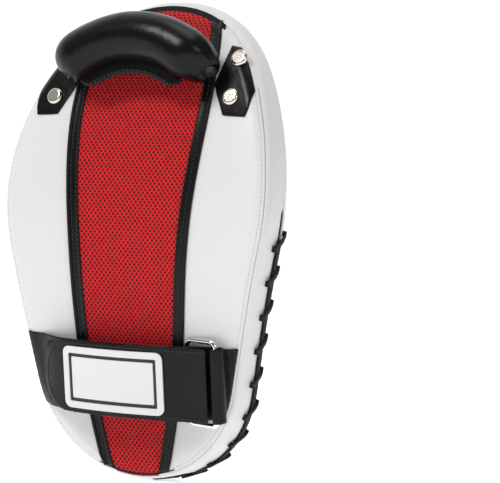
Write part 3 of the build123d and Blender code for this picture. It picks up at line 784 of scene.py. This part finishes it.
def sewStitches(name, body, thread, pitch, lines, radius=0.0004, length=0.7):
    points, edges = [], []
    for line in lines:
        first = len(points)
        points += [tuple(p) for p in line]
        edges += [(first + k, first + k + 1) for k in range(len(line) - 1)]
    mesh = bpy.data.meshes.new(name)
    mesh.from_pydata(points, edges, [])
    obj = bpy.data.objects.new(name, mesh)
    collection.objects.link(obj)
    modifier = obj.modifiers.new("stitches", "NODES")
    modifier.node_group = stitching
    modifier[sockets["Pitch"]] = pitch
    modifier[sockets["Length"]] = pitch * length
    modifier[sockets["Radius"]] = radius
    modifier[sockets["Thread"]] = thread
    made = bpy.data.meshes.new_from_object(obj.evaluated_get(bpy.context.evaluated_depsgraph_get()))
    obj.modifiers.clear()
    obj.data = made
    made.shade_smooth()
    if body:
        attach(obj, body)
    return obj


# edge stitches on the strap, laid on its CAD surface
treesByNode = {}


# the outermost point of a CAD node over (x, z), lifted a little off it
def onNode(node, x, z, lift=0.0003):
    if node not in treesByNode:
        solid = frame["nodes"][node]
        spots = [solid.matrix_world @ v.co for v in solid.data.vertices]
        treesByNode[node] = BVHTree.FromPolygons(spots, [list(f.vertices) for f in solid.data.polygons])
    hit = treesByNode[node].ray_cast(Vector((x, -0.3, z)), Vector((0, 1, 0)))[0]
    return None if hit is None else (hit.x, hit.y - lift, hit.z)


def layLine(node, pairs, lift=0.0003):
    found = [onNode(node, x, z, lift) for x, z in pairs]
    return np.array([p for p in found if p])


strapSew = {"margin": 0.0032, "tipRadius": 0.0228}
strapLow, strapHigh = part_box("strap_upper")
middleZ = (strapLow.z + strapHigh.z) / 2
halfSew = (strapHigh.z - strapLow.z) / 2 - strapSew["margin"]
leftX = strapLow.x + strapSew["margin"] + strapSew["tipRadius"]
edgePairs = [(x, middleZ + halfSew) for x in np.linspace(strapHigh.x - 0.001, leftX, 90)]
for a in np.linspace(0.5 * math.pi, 1.5 * math.pi, 40):
    edgePairs.append((leftX + strapSew["tipRadius"] * math.cos(a), middleZ + halfSew * math.sin(a)))
edgePairs += [(x, middleZ - halfSew) for x in np.linspace(leftX, strapHigh.x - 0.001, 90)]
flapLine = layLine("strap_upper", edgePairs)
stitchLines.append(("flap", threadBlack, 0.0034, flapLine))

groups = {}
for body, thread, pitch, line in stitchLines:
    groups.setdefault((body, thread.name, pitch), []).append(line)
for number, ((body, threadName, pitch), lines) in enumerate(sorted(groups.items())):
    sewStitches(f"stitches{body.capitalize()}{number}", body, bpy.data.materials[threadName], pitch, lines)
print("stitches made")

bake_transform(upper)

# floor, lights and camera
low = cadBox[0]
studio = {"floorBelow": 0.002, "floorHalf": 6.0, "floorGlow": 0.6}
floorZ = low.z - studio["floorBelow"]
size = studio["floorHalf"]
floorMaterial, floorShader = newMaterial("paleFloor", (0.86, 0.87, 0.885), 0.8, specular=0.2)[::2]
floorShader.inputs["Emission Color"].default_value = (0.97, 0.985, 1.0, 1)
floorShader.inputs["Emission Strength"].default_value = studio["floorGlow"]
floor = makeMesh("floor", [(-size, -size, floorZ), (size, -size, floorZ), (size, size, floorZ),
                           (-size, size, floorZ)],
                 [(0, 1, 2, 3)], floorMaterial, smooth=False)
world = bpy.data.worlds.new("studio")
bpy.context.scene.world = world
world.use_nodes = True
sky = world.node_tree
sky.nodes["Background"].inputs["Color"].default_value = (0.97, 0.985, 1.0, 1)
heading = addNode(sky, "ShaderNodeTexCoord").outputs["Generated"]
behind = addNode(sky, "ShaderNodeVectorMath", {1: (-0.59, 0.80, 0.0)}, {0: heading},
                 operation="DOT_PRODUCT")
glow = addNode(sky, "ShaderNodeMapRange",
               {"From Min": -0.1, "From Max": 0.7, "To Min": 0.20, "To Max": 1.2},
               {"Value": behind.outputs["Value"]}, interpolation_type="SMOOTHSTEP")
sky.links.new(glow.outputs["Result"], sky.nodes["Background"].inputs["Strength"])


def addLight(name, place, target, power, width):
    data = bpy.data.lights.new(name, "AREA")
    data.energy = power
    data.size = width
    obj = bpy.data.objects.new(name, data)
    collection.objects.link(obj)
    obj.location = place
    obj.rotation_mode = "QUATERNION"
    obj.rotation_quaternion = (Vector(target) - Vector(place)).to_track_quat("-Z", "Y")


addLight("keyLight", (-0.5, -1.5, 1.6), (0, 0, 0), 24, 0.6)
addLight("sideLight", (1.9, -0.9, 0.9), (0, 0, 0), 7, 0.5)
addLight("topLight", (0.2, 0.1, 1.9), (0, 0, 0), 7, 1.0)

shot = {"distance": 1.53, "azimuth": 32.8, "elevation": 1.8, "roll": -1.4, "pan": 3.71, "tilt": -0.26,
        "lens": 136.5}
camera = bpy.data.objects.new("camera", bpy.data.cameras.new("camera"))
collection.objects.link(camera)
bpy.context.scene.camera = camera
azimuth, elevation = math.radians(shot["azimuth"]), math.radians(shot["elevation"])
backward = Vector((math.sin(azimuth) * math.cos(elevation), -math.cos(azimuth) * math.cos(elevation),
                   math.sin(elevation)))
camera.location = backward * shot["distance"]
aim = (-backward).to_track_quat("-Z", "Y")
pan = Matrix.Rotation(math.radians(-shot["pan"]), 4, "Y") @ Matrix.Rotation(math.radians(shot["tilt"]), 4,
                                                                            "X")
camera.rotation_mode = "QUATERNION"
turned = aim.to_matrix().to_4x4() @ pan @ Matrix.Rotation(math.radians(-shot["roll"]), 4, "Z")
camera.rotation_quaternion = turned.to_quaternion()
camera.data.sensor_width = 36
camera.data.lens = shot["lens"]
bpy.context.scene.view_settings.view_transform = "Standard"
